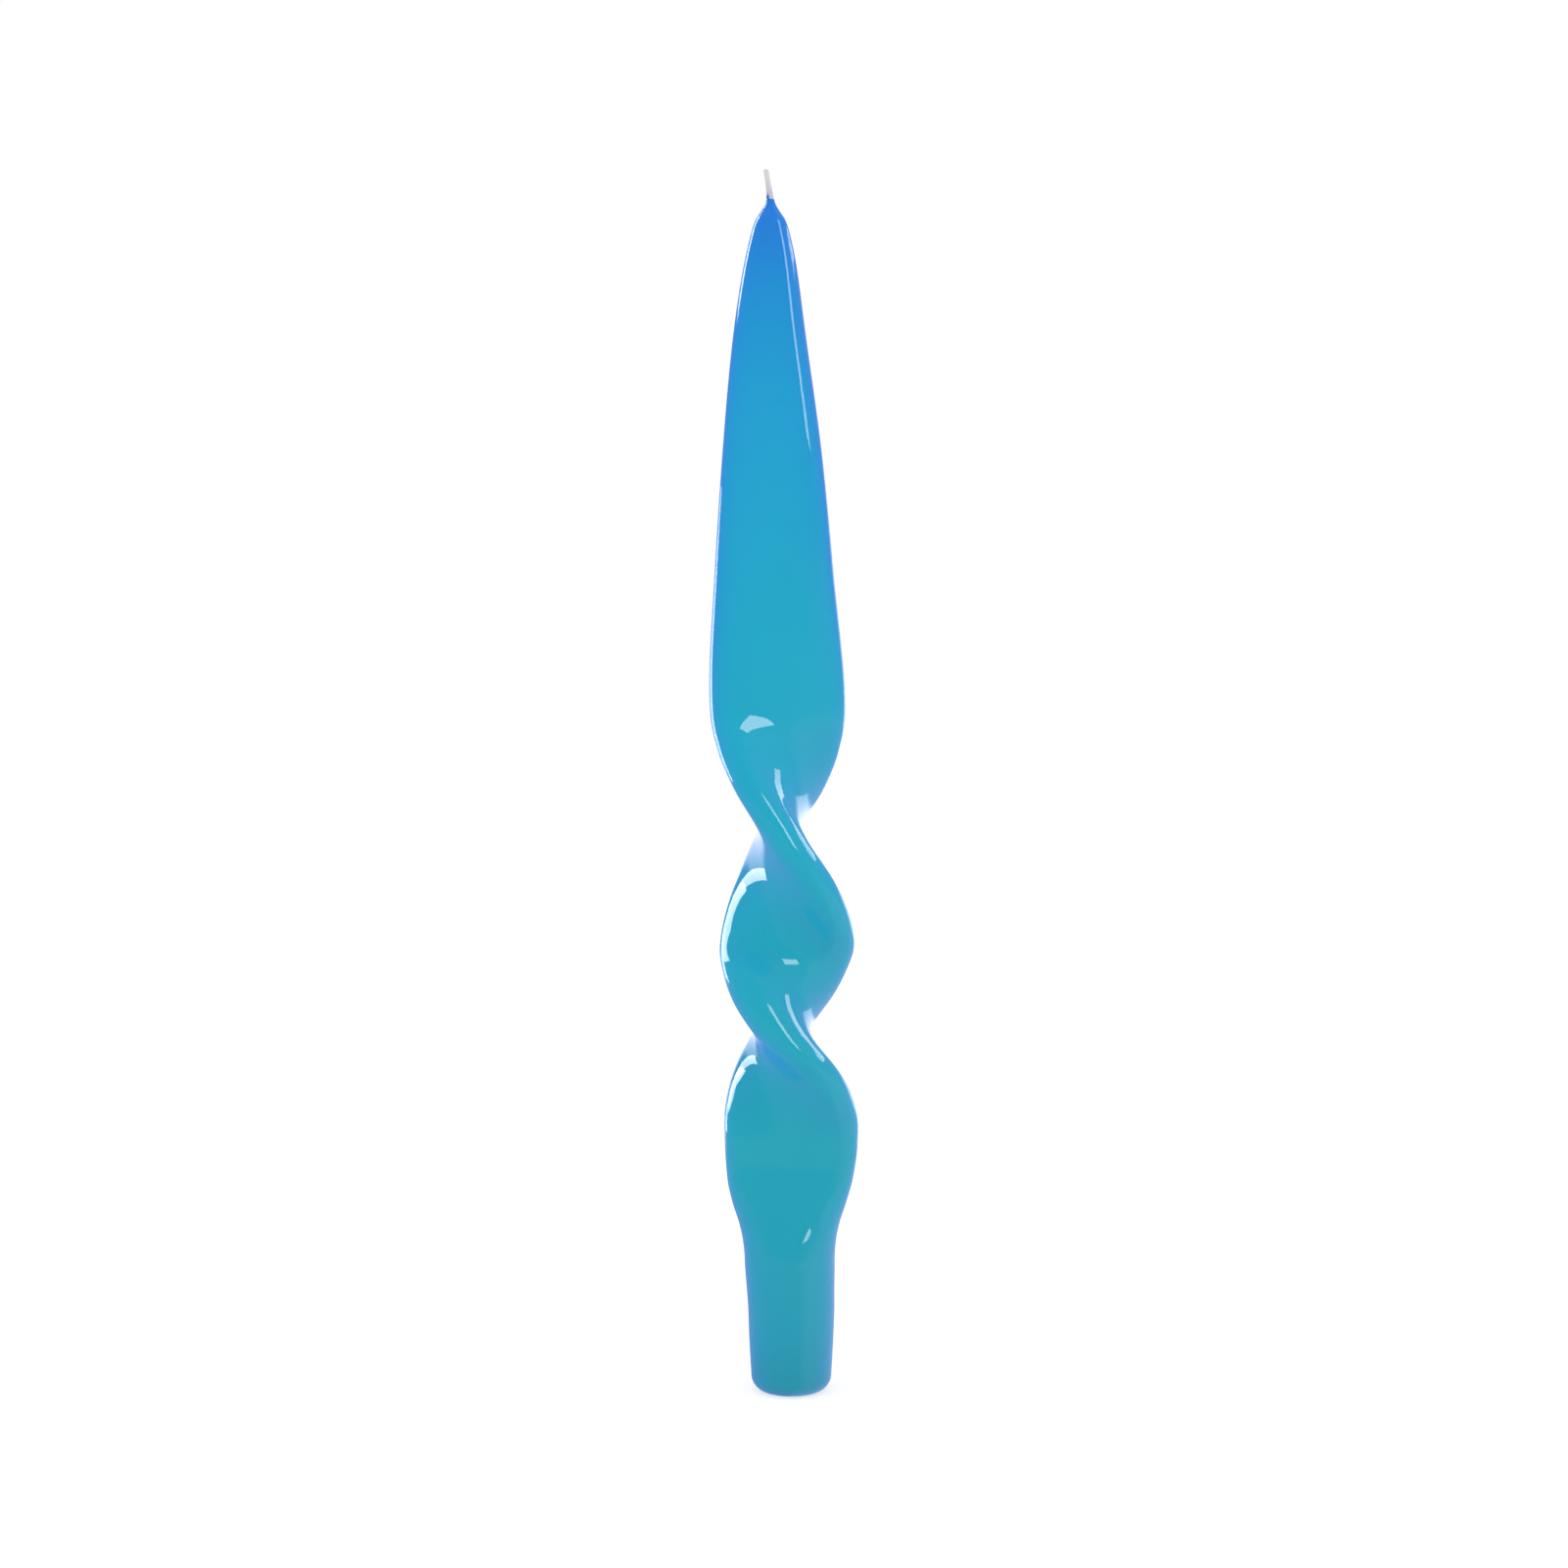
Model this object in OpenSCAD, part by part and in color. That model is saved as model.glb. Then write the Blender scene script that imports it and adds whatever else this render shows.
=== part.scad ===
// Twisted taper candle: a white core taper on a plaited cotton wick, dipped in dyed wax,
// rolled flat into a blade, twisted one turn by hand and finished in clear lacquer.
// Origin: centre of the flat foot. +Z runs up the candle, X lies across the upper blade.

/* [Candle] */
// Height from the foot to the cut end of the wick
total_height = 300; // [280:1:330]
// Width of the rolled blade where it is widest
blade_width = 34.8; // [30:0.2:38]
// Thickness of the blade where the twist first turns it edge on
blade_thickness = 11.6; // [9:0.2:13]
// Diameter of the round butt just under the blade
butt_diameter = 22.2; // [20:0.2:25]
// Rounding between the side and the flat foot
foot_radius = 3.7; // [2:0.1:5]
// Turns that the blade makes between its upper and lower flat
twist_turns = 1; // [0.5:0.1:1.2]
// Sideways bow of the candle, measured at the tip
bow = 5.2; // [0:0.1:8]

/* [Layers] */
// Thickness of the clear lacquer film
lacquer_thickness = 0.2; // [0.1:0.05:0.5]
// Thickness of the dyed wax under the lacquer
dip_thickness = 1.4; // [0.8:0.1:2]

/* [Wick] */
// Length of bare wick that stands out of the tip
wick_stub = 7.6; // [5:0.1:10]
// Width of the waxed wick
wick_width = 1.32; // [1.3:0.02:1.6]
// Thickness of the waxed wick
wick_depth = 1.04; // [1.02:0.02:1.3]
// Diameter of one cotton strand
strand_diameter = 0.32; // [0.24:0.01:0.32]
// Length of wick in which a strand crosses over and comes back
plait_pitch = 8; // [6:0.5:10]

/* [Hidden] */

around = 24; // points round a wax section
around_wick = around / 2; // points round the waxed wick
fit_gap = 0.02; // between the tip's collar and the waxed wick
sheath = 0.1; // thickness of the priming wax round the plait
tip_step = 0.44; // how far a layer's end drops at the tip, per mm of its depth

wax_top = total_height - wick_stub;
tall = wax_top / 292.4; // the station heights below are for a wax height of 292.4
butt_r = butt_diameter / 2;
blade_hw = blade_width / 2;
blade_ht = blade_thickness / 2;
collar_hw = 0.98;
collar_ht = 0.80;

// Each table is a list of [height in mm, value], from the foot up.
// Half width, as a share of the butt's radius and then of the blade's half width.
butt_share = [[0, 0.865], [14, 0.937], [24, 0.968], [33, 1]];
width_share = [
    [37, 0.661], [41, 0.71], [46, 0.805], [52, 0.891], [61, 0.945], [80, 0.968], [88.5, 0.922],
    [98, 0.917], [110, 0.963], [123, 1], [130, 1], [137, 0.968], [150, 0.94], [170, 0.986],
    [200, 0.851], [230, 0.707], [262, 0.494], [276, 0.376], [283, 0.29], [287, 0.221], [290, 0.115],
];
// Half thickness, as a share of the blade's.
thickness_share = [
    [37, 1.793], [42, 1.517], [48, 1.276], [56, 0.966], [74, 1.121], [90, 1.276], [100, 1.345],
    [110, 0.983], [124, 1.069], [137, 1], [157, 1.017], [200, 0.81], [262, 0.69], [280, 0.569],
    [287, 0.448], [290, 0.259],
];
// Turn of the blade, in degrees for one whole turn.
turn = [
    [50, 360], [62, 359], [74, 326], [81, 300], [88.5, 268], [98, 226], [104, 200], [110, 172],
    [116, 150], [123, 129], [130, 110], [137, 92], [149, 54], [157, 31], [166, 14], [178, 13],
    [220, -4], [292, -8],
];
// Sideways place of the centre line, for a bow of 5.2 mm.
drift = [
    [20, 0], [33, -0.4], [44, -0.5], [62, 0], [76, -0.6], [90, -2.1], [100, -1.7], [112, -1],
    [124, -1.4], [136, -2.7], [150, -2.9], [172, -3.4], [200, -4.2], [230, -4.75], [262, -5.4],
    [285, -5.15], [291, -5.15], [300, -6.25],
];
// Half width and half thickness of the waxed wick, as shares of its own: it swells at the tip.
wick_swell = [[286, 1], [292.5, 1.42], [294.3, 1.25], [296, 1.08], [299, 1]];

half_width = concat(
    [for (s = butt_share) [s[0] * tall, s[1] * butt_r]],
    [for (s = width_share) [s[0] * tall, s[1] * blade_hw]],
    [[291.4 * tall, 1.26], [wax_top, collar_hw]]
);
half_thickness = concat(
    [for (s = butt_share) [s[0] * tall, s[1] * butt_r]],
    [for (s = thickness_share) [s[0] * tall, s[1] * blade_ht]],
    [[291.4 * tall, 1], [wax_top, collar_ht]]
);

// Ring heights: close where the blade twists and at the tip, wide where it runs straight.
foot_rings = [for (i = [0:4]) foot_radius * (1 - cos(i * 22.5))];
body_rings = concat(
    [for (z = [8:8:32]) z], [for (z = [36:4:72]) z], [for (z = [75.5:3.5:107]) z],
    [for (z = [111:4.5:156]) z], [for (z = [162:6:174]) z], [for (z = [184:12:268]) z],
    [for (z = [274:4:286]) z], [288.2, 290, 291.3]
);
rings = concat(foot_rings, [for (z = body_rings) z * tall], [wax_top]);

// Smooth curve through a table's stations, which never overshoots one of them.
function secant(t, k) = (t[k + 1][1] - t[k][1]) / (t[k + 1][0] - t[k][0]);
function gap(t, k) = t[k + 1][0] - t[k][0];
function blended(t, k, a, b) =
    let (w1 = 2 * gap(t, k) + gap(t, k - 1), w2 = gap(t, k) + 2 * gap(t, k - 1))
    (w1 + w2) / (w1 / a + w2 / b);
function slope(t, k) =
    k == 0 ? secant(t, 0) :
    k == len(t) - 1 ? secant(t, k - 1) :
    secant(t, k - 1) * secant(t, k) <= 0 ? 0 : blended(t, k, secant(t, k - 1), secant(t, k));
function span_at(t, z, k = 0) = k >= len(t) - 2 || z < t[k + 1][0] ? k : span_at(t, z, k + 1);
function along(t, z) =
    z <= t[0][0] ? t[0][1] :
    z >= t[len(t) - 1][0] ? t[len(t) - 1][1] :
    let (k = span_at(t, z), h = gap(t, k), s = (z - t[k][0]) / h)
    (2 * pow(s, 3) - 3 * pow(s, 2) + 1) * t[k][1] + (pow(s, 3) - 2 * pow(s, 2) + s) * h * slope(t, k)
    + (3 * pow(s, 2) - 2 * pow(s, 3)) * t[k + 1][1] + (pow(s, 3) - pow(s, 2)) * h * slope(t, k + 1);

function angle_at(z) = along(turn, z / tall) * twist_turns + 360 * (1 - twist_turns);
function centre_at(z) = [along(drift, z / tall) * bow / 5.2, 0];
function turned(p, angle) = [p[0] * cos(angle) - p[1] * sin(angle), p[0] * sin(angle) + p[1] * cos(angle)];
function placed(p, z) = let (q = turned(p, angle_at(z)) + centre_at(z)) [q[0], q[1], z];

// How much the rounded foot draws the side in at a height.
function foot_inset(z) =
    z >= foot_radius ? 0 : foot_radius - sqrt(pow(foot_radius, 2) - pow(foot_radius - z, 2));

// A layer's depth, which thins out where the wax runs up to the collar.
function depth_for(depth, room) = depth == 0 ? 0 : depth * (1 - exp(-room / depth));
function inner(size, collar, depth) = size - depth_for(depth, max(size - collar, 0));

// Point of a bar with flat faces and round edges. The points crowd on the flats.
function tanh(x) = (exp(x) - exp(-x)) / (exp(x) + exp(-x));
function bar_point(hw, ht, u) =
    let (t = u + 20 * sin(2 * u), flat = max(hw - ht, 0))
    [flat * tanh(3.1 * cos(t)) + ht * cos(t), ht * sin(t)];

// Ring of the candle's surface, a depth under the outside. Deeper layers end a little lower.
function wax_ring(z, depth) =
    let (
        low = z - tip_step * depth * pow(z / wax_top, 100),
        hw = inner(along(half_width, z) - foot_inset(z), collar_hw, depth),
        ht = inner(along(half_thickness, z) - foot_inset(z), collar_ht, depth)
    )
    [for (i = [0:around - 1]) placed(bar_point(hw, ht, i * 360 / around), low)];
function wick_ring(z, hw, ht) =
    [for (i = [0:around_wick - 1])
        let (t = i * 360 / around_wick)
        placed([hw * cos(t), ht * sin(t)], z)];
function waxed_wick_ring(z) =
    let (swell = along(wick_swell, z / tall))
    wick_ring(z, (wick_width / 2 - fit_gap) * swell, (wick_depth / 2 - fit_gap) * swell);

function flattened(lists) = [for (l = lists) for (p = l) p];

// Faces of a stack of rings. first is the index of its first point, n the points round it.
function side_faces(first, n, count, outward) = flattened([
    for (r = [0:count - 2]) for (i = [0:n - 1])
        let (
            a = first + r * n + i, b = first + r * n + (i + 1) % n,
            c = a + n, d = b + n
        )
        outward ? [[a, c, b], [b, c, d]] : [[a, b, c], [b, d, c]]
]);
// Faces of the flat ring between an outer ring and an inner one with as many points, or half.
function end_faces(outer, inner_first, n, inner_n, up) = flattened([
    for (j = [0:inner_n - 1])
        let (
            step = n / inner_n, p = inner_first + j, q = inner_first + (j + 1) % inner_n,
            a = outer + j * step, b = outer + (j * step + 1) % n, c = outer + (j * step + 2) % n,
            fan = step == 1 ? [[p, b, a], [p, q, b]] : [[p, b, a], [p, q, b], [q, c, b]]
        )
        up ? fan : [for (f = fan) [f[2], f[1], f[0]]]
]);
function cap_faces(first, n, up) =
    [[for (i = [0:n - 1]) first + (up ? n - 1 - i : i)]];

// Closed sleeve between two stacks of rings.
module sleeve(outer, inside) {
    n = len(outer[0]);
    m = len(inside[0]);
    second = n * len(outer);
    polyhedron(
        points = concat(flattened(outer), flattened(inside)),
        faces = concat(
            side_faces(0, n, len(outer), true),
            side_faces(second, m, len(inside), false),
            end_faces(0, second, n, m, false),
            end_faces(n * (len(outer) - 1), second + m * (len(inside) - 1), n, m, true)
        ),
        convexity = 6
    );
}

module layer(depth_outside, depth_inside) {
    sleeve(
        [for (z = rings) wax_ring(z, depth_outside)],
        [for (z = rings) wax_ring(z, depth_inside)]
    );
}

// Clear glossy film over everything.
module lacquer() color([0.55, 0.85, 0.95, 0.5]) layer(0, lacquer_thickness);

// Translucent dyed wax, which gives the candle its colour.
module dyed_wax() color([0.12, 0.62, 0.72])
    layer(lacquer_thickness, lacquer_thickness + dip_thickness);

// White core taper that the wick runs through.
core_rings = [for (z = rings) wax_ring(z, lacquer_thickness + dip_thickness)];
bore_heights = [for (r = core_rings) r[0][2]];
module core_wax() color([0.93, 0.92, 0.88])
    sleeve(core_rings, [for (z = bore_heights) waxed_wick_ring(z)]);

// Priming wax that sheathes and stiffens the wick. It stops short of the cut end.
sheath_heights = concat(bore_heights, [for (up = [0.15:0.2:0.95]) wax_top + up * wick_stub]);
module wick_wax() color([0.9, 0.89, 0.86])
    sleeve(
        [for (z = sheath_heights) waxed_wick_ring(z)],
        [for (z = sheath_heights) wick_ring(z, wick_width / 2 - sheath, wick_depth / 2 - sheath)]
    );

// One cotton strand of the flat plait. It swings across and crosses over the others.
strand_sides = 4;
strand_step = plait_pitch / 6;
swing_across = wick_width / 2 - sheath - 0.04 - strand_diameter / 2;
swing_over = wick_depth / 2 - sheath - 0.06 - strand_diameter / 2;
function strand_ring(z, phase) =
    let (s = z * 360 / plait_pitch + phase)
    [for (i = [0:strand_sides - 1]) placed([
        swing_across * sin(s) + strand_diameter / 2 * cos(i * 360 / strand_sides),
        swing_over * sin(2 * s) + strand_diameter / 2 * sin(i * 360 / strand_sides)
    ], z)];
module strand(phase) color([0.95, 0.94, 0.9]) {
    stack = [for (z = [0:strand_step:total_height - strand_step / 2]) strand_ring(z, phase)];
    full = concat(stack, [strand_ring(total_height, phase)]);
    polyhedron(
        points = flattened(full),
        faces = concat(
            side_faces(0, strand_sides, len(full), true),
            cap_faces(0, strand_sides, false),
            cap_faces(strand_sides * (len(full) - 1), strand_sides, true)
        ),
        convexity = 6
    );
}
module wick_strand_a() strand(30);
module wick_strand_b() strand(150);
module wick_strand_c() strand(270);

wick_strand_a();
wick_strand_b();
wick_strand_c();
wick_wax();
core_wax();
dyed_wax();
lacquer();
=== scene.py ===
"""Twisted taper candle in glossy lacquered wax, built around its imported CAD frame."""

from bisect import bisect_right
from functools import lru_cache
from math import atan2, cos, exp, pi, radians, sin, sqrt, tanh

import bmesh
import bpy
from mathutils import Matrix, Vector


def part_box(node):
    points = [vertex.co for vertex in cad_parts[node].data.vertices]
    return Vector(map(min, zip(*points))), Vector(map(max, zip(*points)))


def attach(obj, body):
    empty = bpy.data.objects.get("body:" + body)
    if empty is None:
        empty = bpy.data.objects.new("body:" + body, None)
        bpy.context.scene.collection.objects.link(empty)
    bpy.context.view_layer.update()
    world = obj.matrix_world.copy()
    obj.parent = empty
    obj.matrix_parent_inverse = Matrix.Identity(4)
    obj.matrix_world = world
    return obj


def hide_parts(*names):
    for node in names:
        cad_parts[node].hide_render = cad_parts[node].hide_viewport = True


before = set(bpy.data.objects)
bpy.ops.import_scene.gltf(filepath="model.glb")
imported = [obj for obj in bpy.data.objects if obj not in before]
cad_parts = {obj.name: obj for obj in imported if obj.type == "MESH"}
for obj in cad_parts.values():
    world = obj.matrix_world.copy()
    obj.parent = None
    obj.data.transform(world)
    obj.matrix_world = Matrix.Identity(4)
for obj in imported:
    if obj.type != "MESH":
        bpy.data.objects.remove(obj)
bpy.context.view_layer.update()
scene = bpy.context.scene
MM = 0.001

# ---------------------------------------------------------------- camera

EYE = Vector((-1.8, -560.0, 148.8)) * MM
FRAME_WIDTH = 385.3 * MM  # what the picture spans at the candle
SENSOR = 36.0


def make_camera():
    """A level camera straight in front of the flat upper blade."""
    data = bpy.data.cameras.new("camera")
    data.sensor_width = SENSOR
    data.lens = SENSOR * -EYE.y / FRAME_WIDTH
    data.clip_start = 0.01
    camera = bpy.data.objects.new("camera", data)
    camera.location = EYE
    camera.rotation_euler = (radians(90), 0, 0)
    scene.collection.objects.link(camera)
    scene.camera = camera


make_camera()

# ---------------------------------------------------------------- the candle's form, in millimetres

WAX_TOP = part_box("lacquer")[1].z / MM
WICK_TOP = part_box("wick_strand_a")[1].z / MM
FOOT_RADIUS = 3.7
LACQUER = 0.2
DIP = 1.4
WICK = (0.66, 0.52)  # half width and half thickness of the waxed wick
SHEATH = 0.1  # thickness of the priming wax
SHEATH_GAP = 0.02
STRAND = 0.15  # radius of a cotton strand
SWING = (0.36, 0.20)  # how far a strand swings across and over the wick
PLAIT_PITCH = 8.0
YARN_PITCH = 1.1
PHASES = [radians(a) for a in (30, 150, 270)]
COLLAR = (0.98, 0.80)  # half width and half thickness where the wax meets the wick
TIP_STEP = 0.44  # how far a layer's end drops at the tip, per mm of its depth
AROUND = 112  # points round a wax section
TIP_RINGS = (284, 0.3)  # where the closer rings of the tip begin, and how far apart they are

# Each curve is a list of (height, value), from the foot up.
HALF_WIDTH = [
    (0, 9.6), (14, 10.4), (24, 10.75), (33, 11.1), (37, 11.5), (41, 12.35), (46, 14.0),
    (52, 15.5), (61, 16.45), (80, 16.85), (88.5, 16.05), (98, 15.95), (110, 16.75), (123, 17.4),
    (130, 17.4), (137, 16.85), (150, 16.35), (170, 17.15), (200, 14.8), (230, 12.3), (262, 8.6),
    (276, 6.55), (283, 5.05), (287, 3.85), (290, 2.0), (291.4, 1.26), (292.4, COLLAR[0]),
]
HALF_THICKNESS = [
    (0, 9.6), (14, 10.4), (24, 10.75), (33, 11.1), (37, 10.4), (42, 8.8), (48, 7.4), (56, 5.6),
    (74, 6.5), (90, 7.4), (100, 7.8), (110, 5.7), (124, 6.2), (137, 5.8), (157, 5.9), (200, 4.7),
    (262, 4.0), (280, 3.3), (287, 2.6), (290, 1.5), (291.4, 1.0), (292.4, COLLAR[1]),
]
TURN = [
    (50, 360), (62, 359), (74, 326), (81, 300), (88.5, 268), (98, 226), (104, 200), (110, 172),
    (116, 150), (123, 129), (130, 110), (137, 92), (149, 54), (157, 31), (166, 14), (178, 13),
    (220, -4), (292, -8),
]
DRIFT = [
    (20, 0), (33, -0.4), (44, -0.5), (62, 0), (76, -0.6), (90, -2.1), (100, -1.7), (112, -1.0),
    (124, -1.4), (136, -2.7), (150, -2.9), (172, -3.4), (200, -4.2), (230, -4.75), (262, -5.4),
    (285, -5.15), (291, -5.15), (300, -6.25),
]
WICK_SWELL = [(286, 1), (292.5, 1.42), (294.3, 1.25), (296, 1.08), (299, 1)]


class Curve:
    """Smooth curve through its stations, which never overshoots one of them."""

    def __init__(self, stations):
        self.at = [s[0] for s in stations]
        self.value = [s[1] for s in stations]
        self.slope = [self.slope_at(k) for k in range(len(stations))]

    def secant(self, k):
        return (self.value[k + 1] - self.value[k]) / (self.at[k + 1] - self.at[k])

    def slope_at(self, k):
        last = len(self.at) - 1
        if k == 0 or k == last:
            return self.secant(min(k, last - 1))
        before, after = self.secant(k - 1), self.secant(k)
        if before * after <= 0:
            return 0
        near, far = self.at[k] - self.at[k - 1], self.at[k + 1] - self.at[k]
        heavy, light = 2 * far + near, far + 2 * near
        return (heavy + light) / (heavy / before + light / after)

    def __call__(self, z):
        if z <= self.at[0]:
            return self.value[0]
        if z >= self.at[-1]:
            return self.value[-1]
        k = bisect_right(self.at, z) - 1
        h = self.at[k + 1] - self.at[k]
        s = (z - self.at[k]) / h
        return (
            (2 * s**3 - 3 * s**2 + 1) * self.value[k] + (s**3 - 2 * s**2 + s) * h * self.slope[k]
            + (3 * s**2 - 2 * s**3) * self.value[k + 1] + (s**3 - s**2) * h * self.slope[k + 1]
        )


half_width = Curve(HALF_WIDTH)
half_thickness = Curve(HALF_THICKNESS)
turn = Curve(TURN)
drift = Curve(DRIFT)
swell = Curve(WICK_SWELL)


@lru_cache(maxsize=None)
def station(z):
    """Where the section at a height stands: its centre, and the cosine and sine of its turn."""
    angle = radians(turn(z))
    return drift(z), cos(angle), sin(angle)


def placed(x, y, z):
    """A point of the cross-section, turned with the blade and moved with its centre line."""
    centre, c, s = station(z)
    return Vector((centre + x * c - y * s, x * s + y * c, z))


def foot_inset(z):
    """How much the rounded foot draws the side in."""
    if z >= FOOT_RADIUS:
        return 0
    return FOOT_RADIUS - sqrt(FOOT_RADIUS**2 - (FOOT_RADIUS - z) ** 2)


def inner(size, collar, depth):
    """Half size of a layer's surface, a depth under the outside. Layers thin out at the collar."""
    room = max(size - collar, 0)
    return size - (depth * (1 - exp(-room / depth)) if depth else 0)


@lru_cache(maxsize=None)
def layer_section(z, depth):
    """Half width, half thickness and true height of a layer's section."""
    inset = foot_inset(z)
    hw = inner(half_width(z) - inset, COLLAR[0], depth)
    ht = inner(half_thickness(z) - inset, COLLAR[1], depth)
    return hw, ht, z - TIP_STEP * depth * (z / WAX_TOP) ** 100


def crowded(u):
    """Moves an even spread of angles towards the flats of the section."""
    return u + radians(20) * sin(2 * u)


def wax_point(u, z, depth):
    """Point of the candle's surface, a depth under the outside.
    The section is a bar with flat faces and round edges."""
    hw, ht, low = layer_section(z, depth)
    t = crowded(u)
    x = max(hw - ht, 0) * tanh(3.1 * cos(t)) + ht * cos(t)
    return placed(x, ht * sin(t), low)


def wick_point(u, z, trim):
    """Point of the round-edged wick's outline, drawn in by trim."""
    grow = swell(z)
    return placed((WICK[0] - trim) * grow * cos(u), (WICK[1] - trim) * grow * sin(u), z)


def steps(low, high, step):
    """Evenly spaced heights from low up to, and without, high."""
    count = max(round((high - low) / step), 1)
    return [low + (high - low) * k / count for k in range(count)]


def wax_heights(step):
    """Ring heights from the foot to the collar, closer in the foot's rounding and at the tip."""
    foot = [FOOT_RADIUS * (1 - cos(pi / 2 * k / 12)) for k in range(12)]
    tip, close = TIP_RINGS
    return foot + steps(FOOT_RADIUS, tip, step) + steps(tip, WAX_TOP, close) + [WAX_TOP]


# ---------------------------------------------------------------- mesh helpers


def tube(bm, around, heights, place):
    """A grid rolled up into a cylinder, and moved point by point to place(angle, height).
    Its vertices know how far round the section's edge they lie, from 0 on the flats to 1.
    Returns its lowest and its highest ring of edges."""
    others = set(bm.verts)
    edge = bm.verts.layers.float.get("edge") or bm.verts.layers.float.new("edge")
    top = len(heights) - 1
    grid = bmesh.ops.create_grid(bm, x_segments=around, y_segments=top, size=1)["verts"]
    for v in grid:
        angle = pi * v.co.x
        v.co = (cos(angle), sin(angle), (v.co.y + 1) / 2 * top)
    bmesh.ops.remove_doubles(bm, verts=grid, dist=0.001)
    rims = [
        [e for e in bm.edges if all(v not in others and abs(v.co.z - end) < 0.5 for v in e.verts)]
        for end in (0, top)
    ]
    for v in bm.verts:
        if v not in others:
            angle = atan2(v.co.y, v.co.x)
            v[edge] = cos(crowded(angle)) ** 2
            v.co = place(angle, heights[round(v.co.z)]) * MM
    return rims


def finish_mesh(bm, name, sharp=radians(50)):
    """Turns a closed bmesh into a smooth-shaded object at the origin."""
    bmesh.ops.recalc_face_normals(bm, faces=bm.faces[:])
    for f in bm.faces:
        f.smooth = True
    mesh = bpy.data.meshes.new(name)
    bm.to_mesh(mesh)
    bm.free()
    mesh.set_sharp_from_angle(angle=sharp)
    piece = bpy.data.objects.new(name, mesh)
    scene.collection.objects.link(piece)
    return piece


def sleeve(name, around, heights, outside, inside):
    """A closed wall between an outer and an inner surface."""
    bm = bmesh.new()
    outer = tube(bm, around, heights, outside)
    bore = tube(bm, around, heights, inside)
    for rim, other in zip(outer, bore):
        bmesh.ops.bridge_loops(bm, edges=rim + other)
    return finish_mesh(bm, name)


def fit(piece, node, material):
    """The piece stands for a CAD node, which it hides, and gets the material it is given."""
    piece.data.materials.append(material)
    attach(piece, "root")
    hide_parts(node)


# ---------------------------------------------------------------- material helpers


class Nodes:
    """Shortcuts for building a node tree."""

    def __init__(self, tree):
        self.tree = tree

    def link(self, source, target):
        self.tree.links.new(source, target)

    def node(self, kind, **settings):
        made = self.tree.nodes.new(kind)
        for key, value in settings.items():
            if key in made.inputs:
                made.inputs[key].default_value = value
            else:
                setattr(made, key, value)
        return made

    def feed(self, socket, value):
        """Sets a socket to a number, or links an output to it."""
        if isinstance(value, (int, float)):
            socket.default_value = value
        else:
            self.link(value, socket)

    def math(self, operation, *values):
        made = self.node("ShaderNodeMath", operation=operation)
        for socket, value in zip(made.inputs, values):
            self.feed(socket, value)
        return made.outputs[0]

    def product(self, first, *others):
        for other in others:
            first = self.math("MULTIPLY", first, other)
        return first

    def mix(self, factor, low, high):
        """Goes from low to high, which are numbers or outputs."""
        made = self.node("ShaderNodeMix")
        for socket, value in zip(("Factor", "A", "B"), (factor, low, high)):
            self.feed(made.inputs[socket], value)
        return made.outputs["Result"]

    def mix_colour(self, factor, low, high):
        """Mixes the colour output low with the plain colour high."""
        made = self.node("ShaderNodeMix", data_type="RGBA")
        colour_low, colour_high = made.inputs[6], made.inputs[7]
        self.link(factor, made.inputs[0])
        self.link(low, colour_low)
        colour_high.default_value = (*high, 1)
        return made.outputs[2]

    def step(self, value, start, end, low=0.0, high=1.0):
        """Goes smoothly from low to high while value goes from start to end."""
        made = self.node("ShaderNodeMapRange", interpolation_type="SMOOTHSTEP")
        for socket, number in zip(("From Min", "From Max", "To Min", "To Max"), (start, end, low, high)):
            made.inputs[socket].default_value = number
        self.link(value, made.inputs["Value"])
        return made.outputs["Result"]

    def ramp(self, value, stops):
        """A colour ramp of (position, colour) stops."""
        made = self.node("ShaderNodeValToRGB")
        elements = made.color_ramp.elements
        while len(elements) < len(stops):
            elements.new(0.5)
        for element, (at, colour) in zip(elements, stops):
            element.position = at
            element.color = (*colour, 1)
        self.link(value, made.inputs["Fac"])
        return made.outputs["Color"]


class Shader(Nodes):
    """A Principled material. Its place output holds the object's own coordinates."""

    def __init__(self, name, **constants):
        self.material = bpy.data.materials.new(name)
        self.material.use_nodes = True
        super().__init__(self.material.node_tree)
        self.surface = self.tree.nodes["Principled BSDF"]
        for socket, value in constants.items():
            self.surface.inputs[socket.replace("_", " ")].default_value = value
        self.place = self.node("ShaderNodeTexCoord").outputs["Object"]

    def axes(self):
        """The x, y and z of a point of the object, in metres."""
        split = self.node("ShaderNodeSeparateXYZ")
        self.link(self.place, split.inputs[0])
        return split.outputs

    def into(self, socket, source):
        self.link(source, self.surface.inputs[socket])


TALL = 0.3  # the candle's height in metres
# The dye by height in metres: turquoise at the foot, blue at the tip. The colours also darken towards
# the foot; that darkening is painted shade.
DYE_AND_FOOT_SHADE = [
    (0.0, (0.006, 0.235, 0.275)), (0.014, (0.007, 0.275, 0.335)), (0.028, (0.007, 0.295, 0.35)),
    (0.062, (0.009, 0.32, 0.375)), (0.11, (0.007, 0.34, 0.415)), (0.173, (0.007, 0.345, 0.45)),
    (0.197, (0.007, 0.335, 0.47)), (0.221, (0.007, 0.32, 0.505)), (0.245, (0.007, 0.295, 0.52)),
    (0.269, (0.006, 0.24, 0.535)), (0.279, (0.007, 0.195, 0.545)), (0.292, (0.010, 0.15, 0.55)),
]
PAINTED_EDGE_BLUE = (0.008, 0.2, 0.56)  # painted light: a bluer base colour on the blade's round edges, standing in for the blue that light through the thin wax shows there edge on


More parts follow.
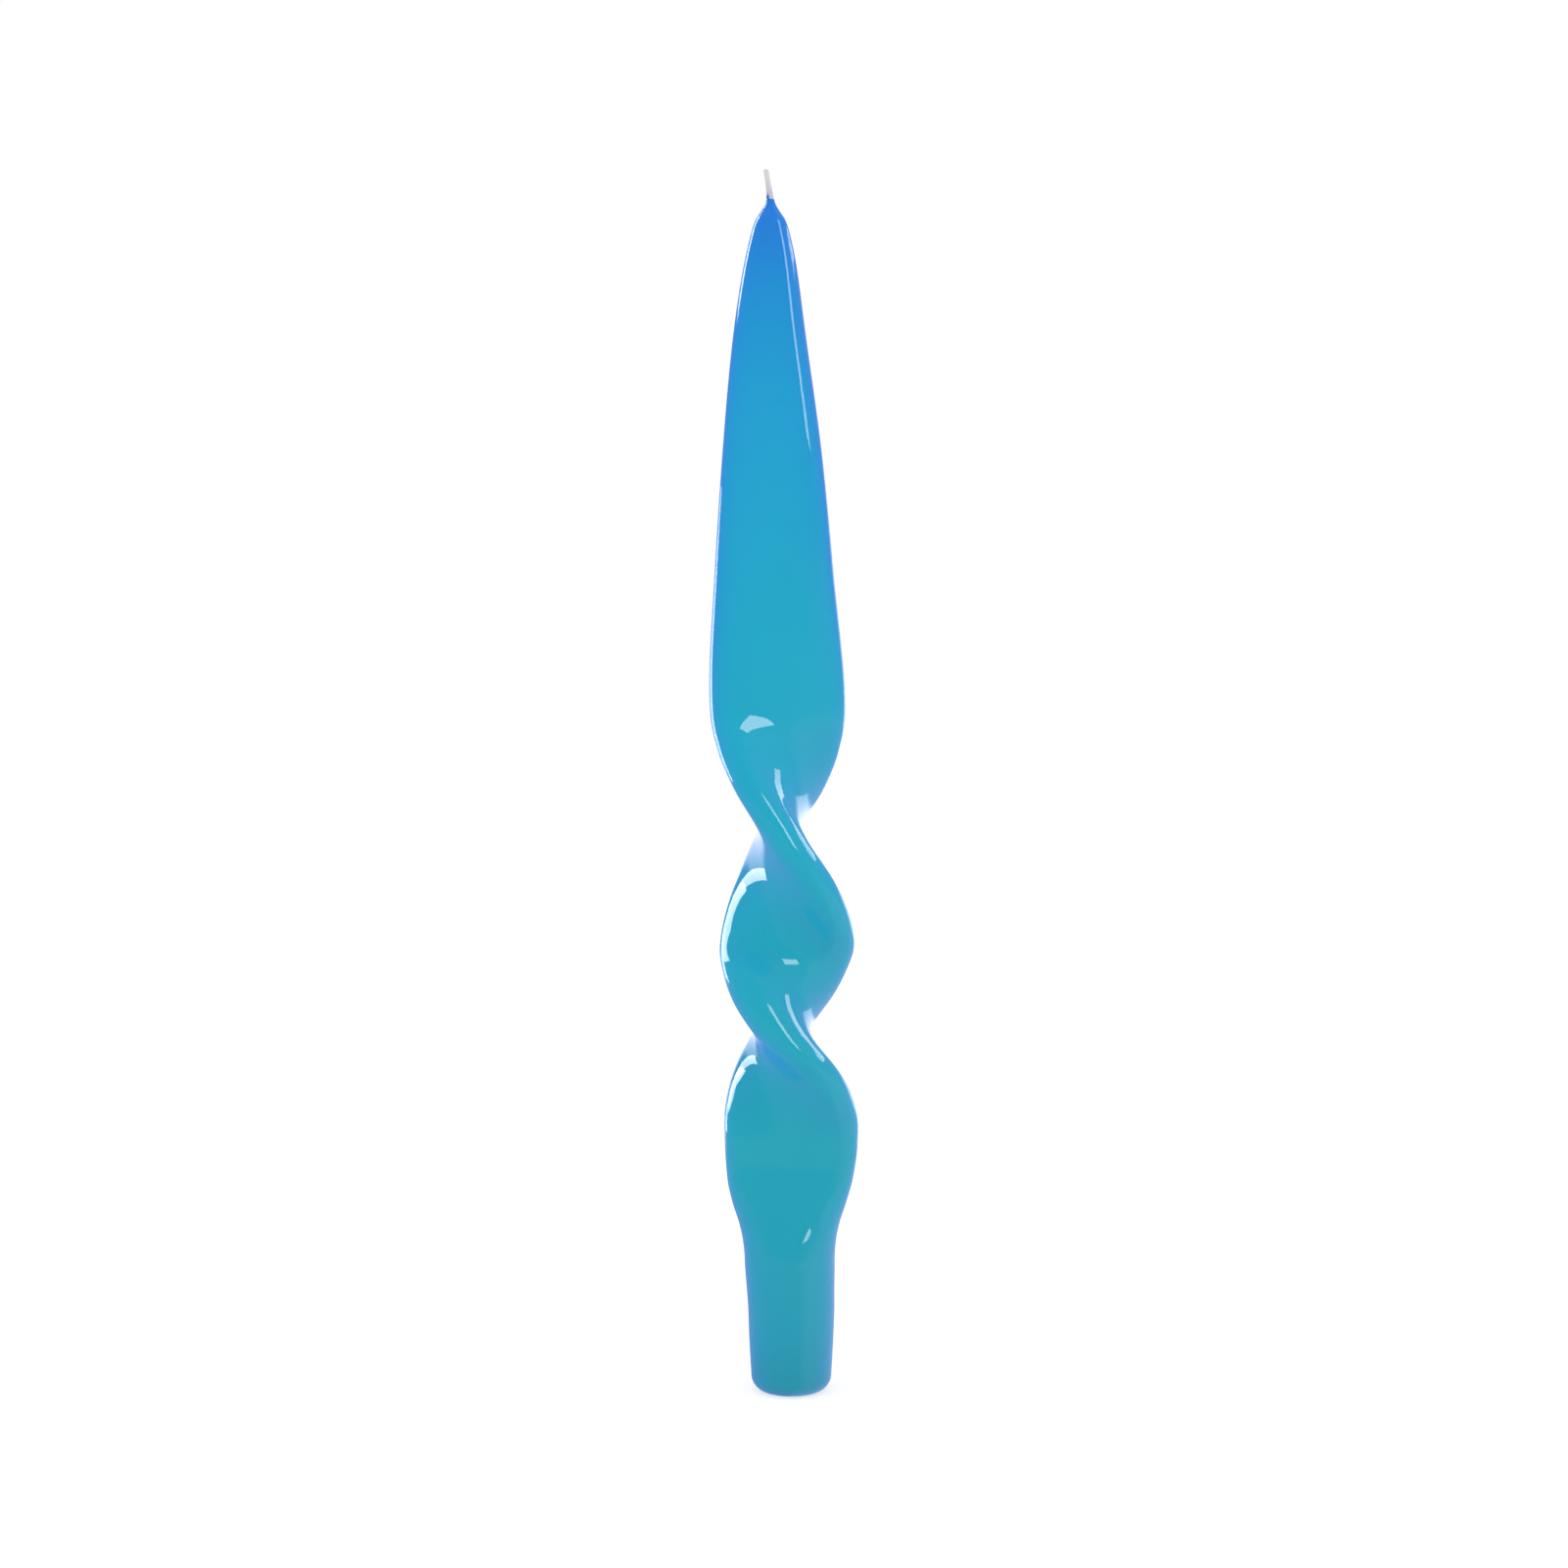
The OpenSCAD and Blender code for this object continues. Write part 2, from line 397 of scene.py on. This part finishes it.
def lacquered_wax():
    """Clear gloss lacquer on translucent turquoise wax, bluer where it is seen edge on. The blade's
    round edges are also painted bluer in the base colour, as painted light.
    """
    look = Shader(
        "lacquered_wax",
        Roughness=0.35, IOR=1.45, Subsurface_Weight=0.2, Subsurface_Scale=0.003,
        Subsurface_Radius=(0.25, 0.8, 1.0), Specular_IOR_Level=0.0,
        Coat_Weight=1.0, Coat_Roughness=0.02, Coat_IOR=1.45,
        Sheen_Weight=1.0, Sheen_Roughness=0.7, Sheen_Tint=(0.05, 0.12, 0.6, 1),
    )
    height = look.math("DIVIDE", look.axes()["Z"], TALL)
    # base colour by height: the dye, with painted shade darkening it towards the foot
    dye = look.ramp(height, [(z / TALL, tint) for z, tint in DYE_AND_FOOT_SHADE])
    edge = look.node("ShaderNodeAttribute", attribute_name="edge").outputs["Fac"]
    # painted light: how much of the bluer edge colour the blade's round edges get, fading in between 45
    # and 70 percent of the height
    rim = look.product(edge, look.step(height, 0.45, 0.7, 0.0, 0.8))
    look.into("Base Color", look.mix_colour(rim, dye, PAINTED_EDGE_BLUE))
    return look.material


def cut_wax(name, tint, depth):
    """Bare wax, satin where it was cut and melted level."""
    look = Shader(
        name, Roughness=0.42, IOR=1.44, Subsurface_Weight=0.5, Subsurface_Scale=0.004,
        Subsurface_Radius=(1.0, 0.9, 0.8),
    )
    grain = look.node("ShaderNodeTexNoise", Scale=420.0, Detail=4.0)
    look.link(look.place, grain.inputs["Vector"])
    dark = [c * depth for c in tint]
    look.into("Base Color", look.ramp(grain.outputs["Fac"], [(0.3, dark), (0.7, tint)]))
    bump = look.node("ShaderNodeBump", Strength=0.25, Distance=0.0002)
    look.link(grain.outputs["Fac"], bump.inputs["Height"])
    look.into("Normal", bump.outputs["Normal"])
    return look.material


def waxed_cotton():
    """Pale wax over the plait. A smear of the blue dye has run up one side of its root."""
    look = Shader("priming_wax", Roughness=0.4, IOR=1.44)
    axes = look.axes()
    height = look.math("MULTIPLY_ADD", axes["Z"], 100.0, -29.2)  # centimetres above the wax
    lilac, white = (0.42, 0.42, 0.52), (0.52, 0.52, 0.52)
    pale = look.ramp(height, [(0.0, lilac), (0.2, lilac), (0.5, white)])
    smear = look.product(look.step(height, 0.2, 0.1), look.step(axes["X"], -0.0053, -0.0056))
    look.into("Base Color", look.mix_colour(smear, pale, (0.02, 0.13, 0.3)))
    return look.material


# ---------------------------------------------------------------- the candle


def make_lacquer():
    """The glossy film, which is the only wax surface that shows, apart from the two ends."""
    piece = sleeve(
        "lacquer_skin", AROUND, wax_heights(0.65),
        lambda u, z: wax_point(u, z, 0), lambda u, z: wax_point(u, z, LACQUER),
    )
    fit(piece, "lacquer", lacquered_wax())


def make_dyed_wax():
    """The dyed layer under the film."""
    piece = sleeve(
        "dyed_wax_body", AROUND, wax_heights(2.0),
        lambda u, z: wax_point(u, z, LACQUER), lambda u, z: wax_point(u, z, LACQUER + DIP),
    )
    fit(piece, "dyed_wax", cut_wax("dyed_wax", (0.02, 0.36, 0.46), 0.85))


def make_core():
    """The white taper in the middle, with the wick's bore."""

    def bore(u, z):
        low = layer_section(z, LACQUER + DIP)[2]
        return wick_point(u, low, 0)

    piece = sleeve(
        "core_taper", AROUND, wax_heights(2.0), lambda u, z: wax_point(u, z, LACQUER + DIP), bore,
    )
    fit(piece, "core_wax", cut_wax("core_wax", (0.83, 0.81, 0.74), 0.93))


def strand_centre(z, phase):
    """Middle of one strand of the flat plait, across and over the wick."""
    s = 2 * pi * z / PLAIT_PITCH + phase
    return SWING[0] * sin(s), SWING[1] * sin(2 * s)


def strand_point(u, z, phase):
    """Point of a strand of two twisted plies."""
    x, y = strand_centre(z, phase)
    ply = 1 + 0.08 * cos(2 * u - 2 * pi * z / YARN_PITCH)
    return placed(x + STRAND * ply * cos(u), y + STRAND * ply * sin(u), z)


def sheath_point(u, z):
    """Point of the priming wax, which follows the plait a little where it is bare."""
    relief = max(
        x * cos(u) + y * sin(u)
        for x, y in (strand_centre(z, phase) for phase in PHASES)
    )
    dip = 0.03 * (1 - relief / SWING[0])
    return wick_point(u, z, SHEATH_GAP + dip)


def make_wick():
    """Three strands of cotton in their sheath of priming wax."""
    bare = WAX_TOP - 2  # the rings are closer above this, where the wick shows
    sheath_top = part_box("wick_wax")[1].z / MM
    heights = steps(0, bare, 2.0) + steps(bare, sheath_top, 0.12) + [sheath_top]
    piece = sleeve(
        "wick_sheath", 48, heights, sheath_point, lambda u, z: wick_point(u, z, SHEATH),
    )
    fit(piece, "wick_wax", waxed_cotton())

    cotton = cut_wax("cotton", (0.8, 0.79, 0.75), 0.9)
    heights = steps(0, bare, 0.5) + steps(bare, WICK_TOP, 0.08) + [WICK_TOP]
    for letter, phase in zip("abc", PHASES):
        bm = bmesh.new()
        for rim in tube(bm, 12, heights, lambda u, z: strand_point(u, z, phase)):
            bmesh.ops.contextual_create(bm, geom=rim)
        strand = finish_mesh(bm, "yarn_strand_" + letter)
        fit(strand, "wick_strand_" + letter, cotton)


make_lacquer()
make_dyed_wax()
make_core()
make_wick()

# ---------------------------------------------------------------- studio


def direction(azimuth, elevation):
    """Unit vector seen from the candle. Azimuth 0 is towards the camera, 90 to its right."""
    a, e = radians(azimuth), radians(elevation)
    return Vector((sin(a) * cos(e), -cos(a) * cos(e), sin(e)))


CENTRE = Vector((0, 0, 0.15))
DOME = (1.55, 0.75)  # radiance of the white dome, in front of the candle and behind it
ROOM = 0.2  # radiance of the room that the gloss sees
LEFT_WALL = 1.6
RIGHT_WALL = 2.4
SOFTBOX = 12.0
LEAN = 0.62  # how far the softbox's near side leans back, as azimuth for elevation


def panel(name, azimuth, elevation, distance, size, radiance):
    """A rectangular softbox of that brightness, which faces the candle and shows in its gloss."""
    data = bpy.data.lights.new(name, "AREA")
    data.shape = "RECTANGLE"
    data.size, data.size_y = size
    data.energy = radiance * pi * size[0] * size[1]
    light = bpy.data.objects.new(name, data)
    away = direction(azimuth, elevation)
    light.location = CENTRE + away * distance
    light.rotation_euler = away.to_track_quat("Z", "Y").to_euler()
    light.visible_camera = False
    light.visible_diffuse = False
    light.visible_transmission = False
    scene.collection.objects.link(light)


def make_world():
    """An even white dome for the shading. The gloss sees a dimmer room with bright walls behind
    and a softbox on the left. Azimuths are in radians from the camera, positive to its right,
    and z is the sine of the elevation."""
    world = bpy.data.worlds.new("studio")
    scene.world = world
    world.use_nodes = True
    sky = Nodes(world.node_tree)
    axes = sky.node("ShaderNodeSeparateXYZ")
    sky.link(sky.node("ShaderNodeTexCoord").outputs["Generated"], axes.inputs[0])
    x, y, z = axes.outputs
    azimuth = sky.math("ARCTAN2", x, sky.math("MULTIPLY", y, -1.0))
    right = sky.step(azimuth, 0.3, 0.8)
    below = sky.step(z, 0.1, -0.15)
    room = sky.math("MULTIPLY_ADD", right, ROOM, ROOM)
    room = sky.math("MULTIPLY_ADD", below, room, room)
    left_wall = sky.product(sky.step(azimuth, -2.2, -2.3), sky.step(z, 0.2, 0.1, 0.0, LEFT_WALL))
    right_wall = sky.product(sky.step(azimuth, 2.2, 2.27), sky.step(z, 0.2, 0.08, 0.0, RIGHT_WALL))
    walls = sky.product(sky.math("ADD", left_wall, right_wall), sky.step(z, -0.22, -0.12))
    near_side = sky.math("MULTIPLY_ADD", sky.math("ARCSINE", z), -LEAN, azimuth)
    softbox = sky.product(
        sky.step(near_side, -2.1, -2.12), sky.step(azimuth, -2.3, -2.28),
        sky.step(z, 0.3, 0.32), sky.step(z, 0.74, 0.72, 0.0, SOFTBOX),
    )
    gloss = sky.math("ADD", sky.math("ADD", room, walls), softbox)
    dome = sky.step(y, -1.0, 1.0, DOME[0], DOME[1])
    path = sky.node("ShaderNodeLightPath")
    lit = sky.mix(path.outputs["Is Glossy Ray"], dome, gloss)
    background = sky.tree.nodes["Background"]
    background.inputs["Color"].default_value = (1, 1, 1, 1)
    sky.link(sky.mix(path.outputs["Is Camera Ray"], lit, 1.0), background.inputs["Strength"])


def make_floor():
    """A white table that gives off a little light, so that shadows stay faint."""
    bm = bmesh.new()
    bmesh.ops.create_grid(bm, x_segments=1, y_segments=1, size=20)
    mesh = bpy.data.meshes.new("floor")
    bm.to_mesh(mesh)
    bm.free()
    floor = bpy.data.objects.new("floor", mesh)
    floor.visible_glossy = False
    scene.collection.objects.link(floor)
    mesh.materials.append(Shader(
        "pale_floor", Base_Color=(0.4, 0.4, 0.4, 1), Roughness=1.0, Specular_IOR_Level=0.0,
        Emission_Color=(1, 1, 1, 1), Emission_Strength=0.65,
    ).material)


def make_studio():
    """The dome, the table, and three softboxes that show only in the gloss."""
    make_world()
    make_floor()
    panel("left_card", -123, 2.5, 0.6, (0.17, 0.31), 8)
    panel("right_strip", 27, 28, 3.0, (0.6, 1.6), 8)
    panel("right_lamp", 110, 28, 3.0, (2.0, 0.35), 6)


make_studio()
scene.view_settings.view_transform = "Standard"
